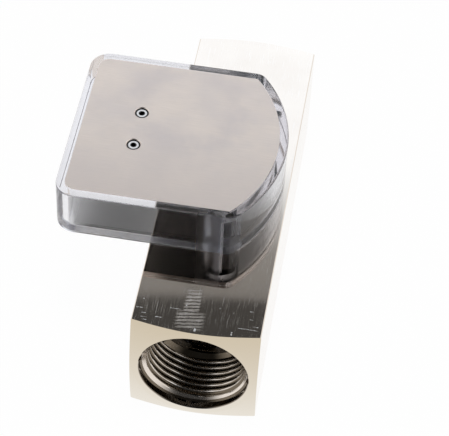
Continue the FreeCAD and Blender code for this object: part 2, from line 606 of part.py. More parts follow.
def make_pointer_arm():
    """Folded sheet: an eye at the hub, a tapered arm with a raised flag, a magnet cradle and a tail."""
    flag_low = ARM_TIP - ARM_THICKNESS
    pieces = [
        rod_upright(PIVOT.x, PIVOT.y, ARM_EYE_RADIUS, ARM_Z, ARM_TOP_Z),
        tapered_strip(-TAIL_LENGTH, 0, ARM_ROOT_WIDTH, ARM_ROOT_WIDTH, ARM_Z, ARM_TOP_Z),
        rod_upright(PIVOT.x - TAIL_LENGTH, PIVOT.y, COUNTERWEIGHT_RADIUS, ARM_Z, ARM_TOP_Z),
        tapered_strip(flag_low, ARM_TIP, ARM_TIP_WIDTH, ARM_TIP_WIDTH, ARM_Z, PLATE_UNDER_Z - FLAG_PLATE_GAP)]
    magnet_low = PIVOT_OFFSET - POINTER_MAGNET_LENGTH / 2
    magnet_high = PIVOT_OFFSET + POINTER_MAGNET_LENGTH / 2
    cradle_width = POINTER_MAGNET_WIDTH + 2 * (FIT_GAP + CRADLE_WALL)
    pieces.append(tapered_strip(magnet_low, magnet_high, cradle_width, cradle_width, ARM_Z, ARM_TOP_Z))
    for side in (-1, 1):
        wall = tapered_strip(magnet_low, magnet_high, CRADLE_WALL, CRADLE_WALL, ARM_Z - CRADLE_DEPTH, ARM_Z)
        wall.translate(Vector(0, side * (cradle_width - CRADLE_WALL) / 2, 0))
        pieces.append(wall)
    arm = tapered_strip(0, ARM_TIP, ARM_ROOT_WIDTH, ARM_TIP_WIDTH, ARM_Z, ARM_TOP_Z).multiFuse(pieces)
    arm = arm.cut(rod_upright(PIVOT.x, PIVOT.y, HUB_SPIGOT_RADIUS + FIT_GAP, ARM_Z, ARM_TOP_Z))
    return at_no_flow(arm.removeSplitter())


def make_pointer_magnet():
    """Bar magnet held in the cradle, above the flow axis."""
    magnet = Part.makeBox(POINTER_MAGNET_LENGTH, POINTER_MAGNET_WIDTH, POINTER_MAGNET_HEIGHT,
                          PIVOT + Vector(PIVOT_OFFSET - POINTER_MAGNET_LENGTH / 2, -POINTER_MAGNET_WIDTH / 2,
                                         ARM_Z - POINTER_MAGNET_HEIGHT))
    return at_no_flow(magnet)


def make_pointer_counterweight():
    """Round weight under the tail."""
    weight = rod_upright(PIVOT.x - TAIL_LENGTH, PIVOT.y, COUNTERWEIGHT_RADIUS, ARM_Z - COUNTERWEIGHT_HEIGHT, ARM_Z)
    return at_no_flow(weight)


PIECES = {
    "flow_body": make_flow_body(),
    "metering_sleeve": make_metering_sleeve(),
    "sleeve_seal": make_sleeve_seal(),
    "inlet_spider": make_inlet_spider(),
    "outlet_spider": mirrored_in_y(make_inlet_spider()),
    "inlet_retaining_ring": make_inlet_retaining_ring(),
    "outlet_retaining_ring": mirrored_in_y(make_inlet_retaining_ring()),
    "guide_rod": make_guide_rod(),
    "guide_rod_nuts": make_guide_rod_nuts(),
    "no_flow_stop": make_no_flow_stop(),
    "full_flow_stop": make_full_flow_stop(),
    "return_spring": make_return_spring(),
    "float_body": make_float_body(),
    "float_magnet": make_float_magnet(),
    "float_nut": make_float_nut(),
    "float_bushes": make_float_bushes(),
    "clear_case": make_clear_case(),
    "case_screws": make_case_screws(),
    "case_washers": make_case_washers(),
    "dial_plate": make_dial_plate(),
    "dial_plate_screws": make_dial_plate_screws(),
    "pivot_pin": make_pivot_pin(),
    "pivot_washer": make_pivot_washer(),
    "pivot_clip": make_pivot_clip(),
    "pointer_hub": make_pointer_hub(),
    "pointer_arm": make_pointer_arm(),
    "pointer_magnet": make_pointer_magnet(),
    "pointer_counterweight": make_pointer_counterweight(),
}

os.makedirs("parts", exist_ok=True)
for node, shape in PIECES.items():
    shape.exportStep(f"parts/{node}.step")
    print(f"{node}: {len(shape.Solids)} solid, valid {shape.isValid()}, {shape.Volume:.1f} mm3")
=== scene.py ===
# Variable area flow meter: a nickel plated brass bar with a pipe thread in each end, a sprung float inside
# it, and a clear case on top in which a pointer swings under a satin steel plate.
# Metres. The flow axis runs along Y, the bar stands on Z = 0, and the origin is the middle of its lower face.

import math

import bmesh
import bpy
from mathutils import Matrix, Vector


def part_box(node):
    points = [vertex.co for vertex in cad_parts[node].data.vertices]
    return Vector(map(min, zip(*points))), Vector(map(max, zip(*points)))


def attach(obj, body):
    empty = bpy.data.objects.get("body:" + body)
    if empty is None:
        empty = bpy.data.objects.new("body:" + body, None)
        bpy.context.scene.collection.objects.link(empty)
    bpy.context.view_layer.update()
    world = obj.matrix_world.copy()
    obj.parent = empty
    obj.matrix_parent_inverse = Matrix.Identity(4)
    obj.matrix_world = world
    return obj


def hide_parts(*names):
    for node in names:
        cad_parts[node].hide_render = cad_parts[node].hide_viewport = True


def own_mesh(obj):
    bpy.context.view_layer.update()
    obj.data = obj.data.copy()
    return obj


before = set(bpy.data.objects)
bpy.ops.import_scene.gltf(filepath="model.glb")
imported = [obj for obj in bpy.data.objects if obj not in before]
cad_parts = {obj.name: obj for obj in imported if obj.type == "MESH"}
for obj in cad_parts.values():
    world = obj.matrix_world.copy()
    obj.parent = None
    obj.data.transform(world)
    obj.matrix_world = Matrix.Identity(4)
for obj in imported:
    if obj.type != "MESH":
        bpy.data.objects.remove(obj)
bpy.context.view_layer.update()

# Bar
# A length of square brass bar, milled on four sides, faced and bored at both ends and then nickel plated.
# The long faces keep the cutter's fine lines, and handling has scratched the upper face near the outlet.
MM = 0.001
BAR_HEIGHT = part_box("flow_body")[1].z
AXIS_Z = BAR_HEIGHT / 2
BAR_AXIS = (0.0, 0.0, AXIS_Z)
ROUND_FLOW_AXIS = (1.0, 0.0, 1.0)
BAR_PALE = (0.80, 0.73, 0.655, 1.0)
BAR_DEEP = (0.76, 0.685, 0.61, 1.0)
BAR_CLOUD_SCALE = 45.0
# Painted shade and painted reflection: the end faces are coloured darker and warmer than the long faces,
# darkest at the top and paler towards the foot.
BAR_END_TOP_SHADE = (0.625, 0.54, 0.41, 1.0)
BAR_END_FOOT_REFLECTION = (0.79, 0.74, 0.655, 1.0)
BAR_END_FACING = (0.6, 0.9)
# Painted shade: a dark brown for the counterbored mouths, the edge under the case and the roots of the
# thread.
BAR_PAINTED_SHADE = (0.16, 0.13, 0.095, 1.0)
BAR_MOUTH = (17.2 * MM, 17.4 * MM)
BAR_GRAIN_STRETCH = (9000.0, 80.0, 9000.0)
BAR_GRAIN_BUMP = 0.03
BAR_SMOOTH = 0.03
BAR_LINED = 0.12
BAR_LINES_FROM = 0.62
BAR_RUBBED = 0.23
BAR_NICKED = 0.4
BAR_NICK_TINT = (0.95, 0.94, 0.92, 1.0)
SCRATCH_STRETCH = (3800.0, 130.0, 3800.0)
SCRATCH_SPARSE = 0.6
SCRATCH_SHARE = 0.22
RUNG_SPACING = 1.3 * MM
RUNG_TURN = -0.17
RUNG_WAVER = {"Distortion": 2.0, "Detail": 2.0, "Detail Scale": 2.0}
RUNG_EDGES = (0.1, 0.5)
RUNG_WEAR_STRETCH = (350.0, 2600.0, 1.0)
RUNG_WEAR_LEAST = 0.35
RUBBED_PLACES = (((-2.6, -53.0), (2.9, 6.5)), ((-2.4, -60.5), (5.2, 4.2)))
# Painted shade along the bar's edge under the case.
EDGE_UNDER_CASE_SHADE = (((-20.0, 0.0), (1.6, 40.0)),)
NICKS = (
    ((-18.2, -58.2), (1.3, 0.13)), ((-16.6, -60.0), (0.9, 0.12)), ((-16.3, -61.6), (1.2, 0.14)),
    ((-15.9, -62.6), (1.0, 0.12)), ((-11.9, -60.9), (1.3, 0.14)), ((-7.4, -56.7), (2.0, 0.1)),
    ((15.5, -60.7), (3.9, 0.12)), ((17.8, -59.4), (1.0, 0.15)), ((15.7, -53.7), (0.8, 0.1)),
    ((16.0, -56.8), (0.7, 0.1)), ((10.9, -63.2), (0.3, 0.8)), ((-0.2, -63.8), (0.4, 0.8)),
    ((-17.5, -54.6), (0.2, 0.2)), ((-4.3, -54.8), (0.2, 0.2)), ((6.0, -54.1), (0.15, 0.2)),
    ((10.3, -55.1), (0.2, 0.15)))
NICK_GRAIN_STRETCH = (1500.0, 1500.0, 1.0)
PLACE_DEPTH = 1.0 * MM
WAVE_PHASE = 20.0           # what the phase of a band texture gains over one unit
WHOLE = (0.0, 1.0)
GRAIN_NOISE = {"Scale": 1.0, "Detail": 3.0, "Roughness": 0.6}
GRAIN_SPREAD = (0.32, 0.68)
GRAIN_DEPTH = 0.02 * MM
CLOUD_NOISE = {"Detail": 3.0, "Roughness": 0.55}
CLOUD_SPREAD = (0.35, 0.65)
MARK_NOISE = {"Scale": 1.0, "Detail": 2.0}
MARK_EDGE = 0.07
ZONE_EDGE = (1.0, 0.6)


def add_node(tree, kind, values=None, **settings):
    """Add a node. Each value is for the input of that name: a plain value, or a socket to link from."""
    node = tree.nodes.new("ShaderNode" + kind)
    for setting, value in settings.items():
        setattr(node, setting, value)
    for name, value in (values or {}).items():
        if isinstance(value, bpy.types.NodeSocket):
            tree.links.new(value, node.inputs[name])
        else:
            node.inputs[name].default_value = value
    return node


def combine(tree, operation, first, second=0.0):
    """One arithmetic step on two values or sockets."""
    return add_node(tree, "Math", {0: first, 1: second}, operation=operation).outputs[0]


def combine_vectors(tree, operation, first, second=(0.0, 0.0, 0.0)):
    """One step on two vectors or sockets. A length is a value, all else a vector."""
    node = add_node(tree, "VectorMath", {0: first, 1: second}, operation=operation)
    return node.outputs["Value" if operation == "LENGTH" else "Vector"]


def part_of(tree, vector, axis):
    """The part of a vector along one axis."""
    return add_node(tree, "SeparateXYZ", {0: vector}).outputs[axis]


def remap(tree, value, source, target=WHOLE, **settings):
    """Carry a value from one range to another, and hold it there."""
    node = add_node(tree, "MapRange", {"Value": value, "From Min": source[0], "From Max": source[1],
                                       "To Min": target[0], "To Max": target[1]}, **settings)
    return node.outputs[0]


def mix_values(tree, share, first, second):
    """A value between two others. Inputs 2 and 3 of the node are its values."""
    return add_node(tree, "Mix", {"Factor": share, 2: first, 3: second}).outputs[0]


def mix_colours(tree, share, first, second):
    """A colour between two others. Inputs 6 and 7 of the node are its colours, and so is output 2."""
    return add_node(tree, "Mix", {"Factor": share, 6: first, 7: second}, data_type="RGBA").outputs[2]


def start_group(name, inputs, outputs):
    """Empty shader node group with these sockets. Returns its tree, its input node and its output node."""
    tree = bpy.data.node_groups.new(name, "ShaderNodeTree")
    for way, sockets in (("INPUT", inputs), ("OUTPUT", outputs)):
        for socket, kind in sockets.items():
            tree.interface.new_socket(socket, in_out=way, socket_type="NodeSocket" + kind)
    return tree, tree.nodes.new("NodeGroupInput"), tree.nodes.new("NodeGroupOutput")


def make_grain_group():
    """Fine lines left by a tool: noise drawn out along the direction with the smallest stretch."""
    tree, inside, outside = start_group("tool_grain", {"Vector": "Vector", "Stretch": "Vector"},
                                        {"Grain": "Float"})
    drawn = combine_vectors(tree, "MULTIPLY", inside.outputs["Vector"], inside.outputs["Stretch"])
    noise = add_node(tree, "TexNoise", {"Vector": drawn, **GRAIN_NOISE})
    grain = remap(tree, noise.outputs["Fac"], GRAIN_SPREAD)
    tree.links.new(grain, outside.inputs["Grain"])
    return tree


def make_clouds_group():
    """Slow change from one tint of a finish to another."""
    tree, inside, outside = start_group("clouded_tint", {
        "Vector": "Vector", "Scale": "Float", "Pale": "Color", "Deep": "Color"}, {"Color": "Color"})
    noise = add_node(tree, "TexNoise", {"Vector": inside.outputs["Vector"], "Scale": inside.outputs["Scale"],
                                        **CLOUD_NOISE})
    share = remap(tree, noise.outputs["Fac"], CLOUD_SPREAD)
    tint = mix_colours(tree, share, inside.outputs["Pale"], inside.outputs["Deep"])
    tree.links.new(tint, outside.inputs["Color"])
    return tree


def make_scratch_group():
    """Sparse short marks: only the highest streaks of a drawn-out noise."""
    tree, inside, outside = start_group("sparse_scratches", {
        "Vector": "Vector", "Stretch": "Vector", "Sparse": "Float"}, {"Mask": "Float"})
    drawn = combine_vectors(tree, "MULTIPLY", inside.outputs["Vector"], inside.outputs["Stretch"])
    noise = add_node(tree, "TexNoise", {"Vector": drawn, **MARK_NOISE})
    full = combine(tree, "ADD", inside.outputs["Sparse"], MARK_EDGE)
    mask = remap(tree, noise.outputs["Fac"], (inside.outputs["Sparse"], full))
    tree.links.new(mask, outside.inputs["Mask"])
    return tree


def make_zone_group():
    """1 inside a box of the surface and 0 outside it, with a soft edge."""
    tree, inside, outside = start_group("soft_zone", {
        "Vector": "Vector", "Centre": "Vector", "Half": "Vector"}, {"Mask": "Float"})
    offset = combine_vectors(tree, "SUBTRACT", inside.outputs["Vector"], inside.outputs["Centre"])
    size = combine_vectors(tree, "ABSOLUTE", offset)
    share = combine_vectors(tree, "DIVIDE", size, inside.outputs["Half"])
    masks = [remap(tree, part_of(tree, share, axis), ZONE_EDGE, interpolation_type="SMOOTHSTEP")
             for axis in "XYZ"]
    flat = combine(tree, "MULTIPLY", masks[0], masks[1])
    tree.links.new(combine(tree, "MULTIPLY", flat, masks[2]), outside.inputs["Mask"])
    return tree


def make_axis_group():
    """1 within the inner radius of an axis and 0 beyond the outer. Across is 1 where distance counts."""
    tree, inside, outside = start_group("near_axis", {
        "Vector": "Vector", "Centre": "Vector", "Across": "Vector", "Inner": "Float", "Outer": "Float"},
        {"Mask": "Float"})
    offset = combine_vectors(tree, "SUBTRACT", inside.outputs["Vector"], inside.outputs["Centre"])
    across = combine_vectors(tree, "MULTIPLY", offset, inside.outputs["Across"])
    distance = combine_vectors(tree, "LENGTH", across)
    mask = remap(tree, distance, (inside.outputs["Outer"], inside.outputs["Inner"]))
    tree.links.new(mask, outside.inputs["Mask"])
    return tree


GRAIN = make_grain_group()
CLOUDS = make_clouds_group()
SCRATCHES = make_scratch_group()
ZONE = make_zone_group()
NEAR_AXIS = make_axis_group()


def place_group(tree, group, **values):
    """Put a group in a material. Returns its first output."""
    return add_node(tree, "Group", values, node_tree=group).outputs[0]


def near_axis(tree, position, centre, across, edge):
    """1 within the first radius of an axis, and 0 beyond the second."""
    return place_group(tree, NEAR_AXIS, Vector=position, Centre=centre, Across=across, Inner=edge[0],
                       Outer=edge[1])


def start_material(name, **values):
    """New material with a Principled shader. Returns the material, its tree, the shader and the position."""
    material = bpy.data.materials.new(name)
    material.use_nodes = True
    tree = material.node_tree
    shader = tree.nodes["Principled BSDF"]
    for socket, value in values.items():
        shader.inputs[socket.replace("_", " ")].default_value = value
    position = add_node(tree, "TexCoord").outputs["Object"]
    return material, tree, shader, position


def add_roughness(tree, shader, grain, smooth, lined):
    """Roughness that follows a grain."""
    tree.links.new(remap(tree, grain, WHOLE, (smooth, lined)), shader.inputs["Roughness"])


def add_bump(tree, shader, height, strength, depth):
    """Let a height show in the surface."""
    bump = add_node(tree, "Bump", {"Height": height, "Strength": strength, "Distance": depth})
    tree.links.new(bump.outputs[0], shader.inputs["Normal"])


def dress(nodes, material):
    """Give pieces of the frame their finish."""
    for node in nodes:
        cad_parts[node].material_slots[0].material = material


def mark_places(tree, position, places):
    """1 inside any of these places on the bar's upper face, each given in mm as a middle and half sizes."""
    mask = 0.0
    for middle, half in places:
        zone = place_group(tree, ZONE, Vector=position, Centre=(middle[0] * MM, middle[1] * MM, BAR_HEIGHT),
                           Half=(half[0] * MM, half[1] * MM, PLACE_DEPTH))
        mask = combine(tree, "MAXIMUM", mask, zone)
    return mask


def rub_marks(tree, position):
    """Short rungs rubbed across the bar near the outlet, worn away in places."""
    turned = add_node(tree, "Mapping", {"Vector": position, "Rotation": (0.0, 0.0, RUNG_TURN)}).outputs[0]
    wave = add_node(tree, "TexWave", {
        "Vector": turned, "Scale": 2 * math.pi / (WAVE_PHASE * RUNG_SPACING), **RUNG_WAVER},
        bands_direction="Y")
    rungs = remap(tree, wave.outputs["Fac"], RUNG_EDGES)
    wear = place_group(tree, GRAIN, Vector=turned, Stretch=RUNG_WEAR_STRETCH)
    worn = combine(tree, "MULTIPLY", rungs, remap(tree, wear, WHOLE, (RUNG_WEAR_LEAST, 1.0)))
    return combine(tree, "MULTIPLY", worn, mark_places(tree, position, RUBBED_PLACES))


def make_nickel():
    """Bright nickel over milled brass: near a mirror, lined along the bar, rubbed and nicked by handling,
    with painted shade and reflection on its ends and painted shade in its mouths and under the case's edge.
    """
    material, tree, shader, position = start_material("nickel_brass", Metallic=1.0)
    facing = part_of(tree, add_node(tree, "TexCoord").outputs["Normal"], "Y")
    on_end = remap(tree, combine(tree, "ABSOLUTE", facing), BAR_END_FACING)
    # Painted shade and painted reflection on the end faces: darker at the top, paler towards the foot.
    height = remap(tree, part_of(tree, position, "Z"), (0.0, BAR_HEIGHT))
    end_painted_light = mix_colours(tree, height, BAR_END_FOOT_REFLECTION, BAR_END_TOP_SHADE)
    side_tint = place_group(tree, CLOUDS, Vector=position, Scale=BAR_CLOUD_SCALE, Pale=BAR_PALE,
                            Deep=BAR_DEEP)
    colour = mix_colours(tree, on_end, side_tint, end_painted_light)
    # Painted shade in the counterbore of each mouth and along the edge that runs under the case.
    mouth = near_axis(tree, position, BAR_AXIS, ROUND_FLOW_AXIS, BAR_MOUTH)
    painted_shade_places = combine(tree, "MAXIMUM", mouth, mark_places(tree, position, EDGE_UNDER_CASE_SHADE))
    with_painted_shade = mix_colours(tree, painted_shade_places, colour, BAR_PAINTED_SHADE)
    broken = place_group(tree, GRAIN, Vector=position, Stretch=NICK_GRAIN_STRETCH)
    nicks = combine(tree, "MULTIPLY", mark_places(tree, position, NICKS), broken)
    lengthwise = place_group(tree, SCRATCHES, Vector=position, Stretch=SCRATCH_STRETCH,
                             Sparse=SCRATCH_SPARSE)
    on_side = combine(tree, "SUBTRACT", 1.0, on_end)
    scratches = combine(tree, "MULTIPLY", combine(tree, "MULTIPLY", lengthwise, on_side), SCRATCH_SHARE)
    marks = combine(tree, "MAXIMUM", nicks, scratches)
    tree.links.new(mix_colours(tree, marks, with_painted_shade, BAR_NICK_TINT), shader.inputs["Base Color"])

    grain = place_group(tree, GRAIN, Vector=position, Stretch=BAR_GRAIN_STRETCH)
    lined = remap(tree, grain, (BAR_LINES_FROM, 1.0), (BAR_SMOOTH, BAR_LINED))
    rubbed = mix_values(tree, rub_marks(tree, position), lined, BAR_RUBBED)
    tree.links.new(mix_values(tree, marks, rubbed, BAR_NICKED), shader.inputs["Roughness"])
    add_bump(tree, shader, grain, BAR_GRAIN_BUMP, GRAIN_DEPTH)
    return material


nickel = make_nickel()
dress(["flow_body"], nickel)

# Port threads
# A parallel one inch pipe thread cut into each end of the bar, eleven turns to the inch, with a lead-in cone.
# Each is drawn as the thin skin of metal that the tap leaves inside the port.
THREAD_PITCH = 2.309 * MM
THREAD_CREST = 15.15 * MM
THREAD_ROOT = 16.5 * MM
THREAD_SKIN = 16.61 * MM
THREAD_INNER_END = 46.9 * MM
THREAD_MOUTH_END = 62.65 * MM
THREAD_CONE_START = 61.3 * MM
THREAD_ROWS_PER_TURN = 14
THREAD_STEPS = 144
THREAD_BRIGHT = (15.25 * MM, 15.5 * MM)
THREAD_CLOUD_SCALE = 300.0
THREAD_GRAIN_STRETCH = (700.0, 7000.0, 700.0)
THREAD_SMOOTH = 0.12
THREAD_LINED = 0.25
FLOW_AXIS = Vector((0.0, 1.0, 0.0))
MERGE_DISTANCE = 1e-7
SHARP_ANGLE = math.radians(35.0)


def finish_piece(name, bm, material, body):
    """Turn a bmesh into a piece of the object: closed, smooth but for its sharp edges, dressed and riding."""
    bmesh.ops.remove_doubles(bm, verts=bm.verts, dist=MERGE_DISTANCE)
    bmesh.ops.recalc_face_normals(bm, faces=bm.faces)
    mesh = bpy.data.meshes.new(name)
    bm.to_mesh(mesh)
    bm.free()
    mesh.shade_smooth()
    mesh.set_sharp_from_angle(angle=SHARP_ANGLE)
    mesh.materials.append(material)
    piece = bpy.data.objects.new(name, mesh)
    bpy.context.scene.collection.objects.link(piece)
    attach(piece, body)
    return piece


def make_thread_metal():
    """Cut thread: the nickel tint along its crests and the lead-in cone, and painted shade between the
    crests.
    """
    material, tree, shader, position = start_material("thread_metal", Metallic=1.0)
    crest = near_axis(tree, position, BAR_AXIS, ROUND_FLOW_AXIS, THREAD_BRIGHT)
    from_middle = combine(tree, "ABSOLUTE", part_of(tree, position, "Y"))
    cone = combine(tree, "GREATER_THAN", from_middle, THREAD_CONE_START)
    bright = combine(tree, "MAXIMUM", crest, cone)
    tint = place_group(tree, CLOUDS, Vector=position, Scale=THREAD_CLOUD_SCALE, Pale=BAR_PALE, Deep=BAR_DEEP)
    # Painted shade between the crests; the crests and the cone keep the nickel tint.
    tree.links.new(mix_colours(tree, bright, BAR_PAINTED_SHADE, tint), shader.inputs["Base Color"])
    grain = place_group(tree, GRAIN, Vector=position, Stretch=THREAD_GRAIN_STRETCH)
    add_roughness(tree, shader, grain, THREAD_SMOOTH, THREAD_LINED)
    return material


thread_metal = make_thread_metal()


def set_radius(vert, radius):
    """Move a vertex straight in or out from the flow axis."""
    outward = Vector((vert.co.x, 0.0, vert.co.z - AXIS_Z)).normalized()
    vert.co = Vector((0.0, vert.co.y, AXIS_Z)) + outward * radius


def thread_radius(place):
    """Radius of a right-hand thread at a place, cut back by the lead-in cone."""
    turn = math.atan2(place.x, place.z - AXIS_Z) / (2 * math.pi)
    wave = 0.5 + 0.5 * math.cos(2 * math.pi * (place.y / THREAD_PITCH - turn))
    cone = THREAD_ROOT - (THREAD_MOUTH_END - abs(place.y))
    return max(THREAD_CREST + (THREAD_ROOT - THREAD_CREST) * wave, cone)


def make_port_thread(name, side):
    """Thread at one end: a line along the port, spun round the flow axis, then cut to the thread's form."""
    bm = bmesh.new()
    ends = [bm.verts.new((0.0, side * y, AXIS_Z + THREAD_ROOT)) for y in (THREAD_INNER_END, THREAD_MOUTH_END)]
    line = bm.edges.new(ends)
    turns = (THREAD_MOUTH_END - THREAD_INNER_END) / THREAD_PITCH
    bmesh.ops.subdivide_edges(bm, edges=[line], cuts=int(turns * THREAD_ROWS_PER_TURN))
    bmesh.ops.spin(bm, geom=bm.verts[:] + bm.edges[:], cent=(0.0, 0.0, AXIS_Z), axis=FLOW_AXIS,
                   angle=2 * math.pi, steps=THREAD_STEPS, use_merge=True)
    for vert in bm.verts:
        set_radius(vert, thread_radius(vert.co))
    borders = [edge for edge in bm.edges if edge.is_boundary]
    skin = bmesh.ops.extrude_edge_only(bm, edges=borders)["geom"]
    for vert in [part for part in skin if isinstance(part, bmesh.types.BMVert)]:
        set_radius(vert, THREAD_SKIN)
    bmesh.ops.bridge_loops(bm, edges=[edge for edge in bm.edges if edge.is_boundary])
    return finish_piece(name, bm, thread_metal, "meter")


make_port_thread("inlet_thread", 1)
make_port_thread("outlet_thread", -1)

# Metering sleeve and its seal
# A turned brass sleeve pushed into the bore. Its taper opens round the float as the float moves down the
# flow, and a rubber cord ring stops water creeping behind it.
METAL_CLOUD_SCALE = 180.0
METAL_BUMP = 0.15
SPECKLES_IN_CLOUD = 6
SPECKLE_BUMP = 0.2


def make_metal(name, pale, deep, stretch, smooth, lined):
    """Turned or drawn metal: two near tints, with the tool's lines in its roughness and surface."""
    material, tree, shader, position = start_material(name, Metallic=1.0)
    tint = place_group(tree, CLOUDS, Vector=position, Scale=METAL_CLOUD_SCALE, Pale=pale, Deep=deep)
    tree.links.new(tint, shader.inputs["Base Color"])
    grain = place_group(tree, GRAIN, Vector=position, Stretch=stretch)
    add_roughness(tree, shader, grain, smooth, lined)
    add_bump(tree, shader, grain, METAL_BUMP, GRAIN_DEPTH)
    return material


def make_plain(name, pale, deep, speckle, smooth, rough):
    """Unplated solid: rubber, plastic, paint or sintered magnet, with a fine even speckle."""
    material, tree, shader, position = start_material(name)
    tint = place_group(tree, CLOUDS, Vector=position, Scale=speckle / SPECKLES_IN_CLOUD, Pale=pale, Deep=deep)
    tree.links.new(tint, shader.inputs["Base Color"])
    grain = place_group(tree, GRAIN, Vector=position, Stretch=(speckle, speckle, speckle))
    add_roughness(tree, shader, grain, smooth, rough)
    add_bump(tree, shader, grain, SPECKLE_BUMP, GRAIN_DEPTH)
    return material


brass = make_metal("plain_brass", pale=(0.82, 0.64, 0.32, 1.0), deep=(0.72, 0.52, 0.23, 1.0),
                   stretch=(900.0, 6000.0, 900.0), smooth=0.12, lined=0.28)
rubber = make_plain("seal_rubber", pale=(0.035, 0.035, 0.035, 1.0), deep=(0.02, 0.02, 0.02, 1.0),
                    speckle=4000.0, smooth=0.55, rough=0.75)
dress(["metering_sleeve"], brass)
dress(["sleeve_seal"], rubber)

# Spiders, guide rod and stops
# Stainless: two turned and milled spiders carry the rod on the flow axis, a thin nut holds each end, and
# sleeves on the rod end the float's travel. Spring rings in grooves keep the stack in the bore.
stainless = make_metal("stainless", pale=(0.66, 0.65, 0.635, 1.0), deep=(0.58, 0.57, 0.56, 1.0),
                       stretch=(1200.0, 5000.0, 1200.0), smooth=0.16, lined=0.3)
spring_steel = make_metal("spring_steel", pale=(0.56, 0.56, 0.57, 1.0), deep=(0.46, 0.46, 0.48, 1.0),
                          stretch=(2500.0, 2500.0, 2500.0), smooth=0.2, lined=0.36)
white_bush = make_plain("white_bush", pale=(0.88, 0.87, 0.84, 1.0), deep=(0.82, 0.81, 0.77, 1.0),
                        speckle=1500.0, smooth=0.35, rough=0.5)
dress(["inlet_spider", "outlet_spider", "guide_rod", "guide_rod_nuts", "full_flow_stop"], stainless)
dress(["inlet_retaining_ring", "outlet_retaining_ring"], spring_steel)
dress(["no_flow_stop"], white_bush)

# Return spring
# An open coil of round steel wire on the guide rod, between the outlet spider and the float's nut.
# Its outlet end stays put and the float shortens it.
SPRING_RADIUS = 7.0 * MM
SPRING_WIRE = 0.5 * MM
SPRING_SIDES = 12
SPRING_TURNS = 6
SPRING_STEPS_PER_TURN = 48


def make_return_spring():
    """Round section carried along a helix about the flow axis."""
    low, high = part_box("return_spring")
    rise = high.y - low.y - 2 * SPRING_WIRE
    steps = SPRING_TURNS * SPRING_STEPS_PER_TURN
    bm = bmesh.new()
    bmesh.ops.create_circle(bm, segments=SPRING_SIDES, radius=SPRING_WIRE, matrix=Matrix.Translation(
        (SPRING_RADIUS, low.y + SPRING_WIRE, AXIS_Z)))
    bmesh.ops.spin(bm, geom=bm.verts[:] + bm.edges[:], cent=(0.0, 0.0, AXIS_Z), axis=FLOW_AXIS,
                   dvec=(0.0, rise / steps, 0.0), angle=2 * math.pi * SPRING_TURNS, steps=steps)
    bmesh.ops.holes_fill(bm, edges=[edge for edge in bm.edges if edge.is_boundary], sides=SPRING_SIDES)
    piece = finish_piece("coil_spring", bm, spring_steel, "meter")
    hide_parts("return_spring")
    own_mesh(piece)


make_return_spring()

# Float
# A turned brass metering head on a tube, with a ring magnet clamped on it by a slotted nut.
# A slippery white bush in each end runs on the rod.
magnet_black = make_plain("magnet_black", pale=(0.075, 0.075, 0.08, 1.0), deep=(0.045, 0.045, 0.05, 1.0),
                          speckle=5000.0, smooth=0.35, rough=0.6)
dress(["float_body", "float_nut"], brass)
dress(["float_magnet"], magnet_black)
dress(["float_bushes"], white_bush)

# Clear case
# A D-shaped tray moulded in clear acrylic and polished: a straight back, two straight ends and a wall struck
# as an arc from the pointer's pivot. A lip stands round the plate, and a post in each corner of the arc takes
# a screw.
CASE_LOW, CASE_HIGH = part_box("clear_case")
PIVOT = Vector((-30.0 * MM, 0.0, 0.0))
CASE_BACK = CASE_LOW.x
CASE_HALF = CASE_HIGH.y
CASE_ARC = CASE_HIGH.x - PIVOT.x
CASE_FLOOR = 1.5 * MM       # half of the solid's, so that the window is as high as the real one
CASE_LIP = 2.8 * MM
CASE_WALL = 3.6 * MM
CASE_BACK_CORNER = 6.5 * MM
CASE_ARC_CORNER = 4.0 * MM
CASE_SHARP_CORNER = 0.05 * MM
CASE_LIP_ROUND = 0.6 * MM
CASE_LIP_STEPS = 6
CASE_SMALL_ROUND = 0.2 * MM
CASE_SMALL_STEPS = 3
CASE_ARC_STEPS = 40
CASE_CORNER_STEPS = 8
CASE_BAR_GAP = 0.03 * MM
PLATE_THICKNESS = 1.5 * MM
PLATE_SCREWS = (-7.15 * MM, 7.15 * MM)
PLATE_BOSS = 3.0 * MM
PLATE_SCREW_HOLE = 1.3 * MM
PLATE_HOLE_DEPTH = 7.5 * MM
PIN_BOSS = 2.5 * MM
PIN_BOSS_HEIGHT = 3.5 * MM
PIN_HOLE = 1.05 * MM
PIN_HOLE_DEPTH = 3.6 * MM
POST_RADIUS = 4.8 * MM
POST_HALF = 26.15 * MM
POST_FROM_ARC = 7.4 * MM
POST_REACH = math.sqrt((CASE_ARC - POST_FROM_ARC) ** 2 - POST_HALF ** 2)
WASHER_HOLE = 3.25 * MM
WASHER_DEPTH = 2.9 * MM
CASE_SCREW_HOLE = 1.55 * MM
HOLE_STEPS = 40
SATIN_INSIDE = 0.12
SATIN_POSTS = 0.5
SATIN_HOLES = 0.7
SATIN_BELOW = 0.1
SATIN_UNDER_FLOOR = 0.4
SATIN_CORNER = 0.3
UPRIGHT_NORMAL = 0.5
EDGE_POLISHED = (5.0 * MM, 6.0 * MM)
CORNER_HAZE = ((-1.4 * MM, 48.5 * MM), (5.6 * MM, 14.0 * MM))
CORNER_HAZE_DEPTH = 1.0 * MM
FROST_FROM = 0.3
CASE_IOR = 1.49
CASE_PALE = (0.99, 0.99, 1.0, 1.0)
CASE_DEEP = (0.975, 0.975, 0.99, 1.0)
CASE_CLOUD_SCALE = 60.0
CASE_FROSTED = (0.88, 0.87, 0.92, 1.0)
CASE_GRAIN_STRETCH = (400.0, 400.0, 400.0)
CASE_POLISHED = 0.02
CASE_RIPPLE = 0.05
CASE_RIPPLE_DEPTH = 0.05 * MM
CASE_DEPTH_TINT = (0.80, 0.794, 0.835, 1.0)
CASE_DEPTH_SHARE = 35.0
ROUND_UPRIGHT = (1.0, 1.0, 0.0)
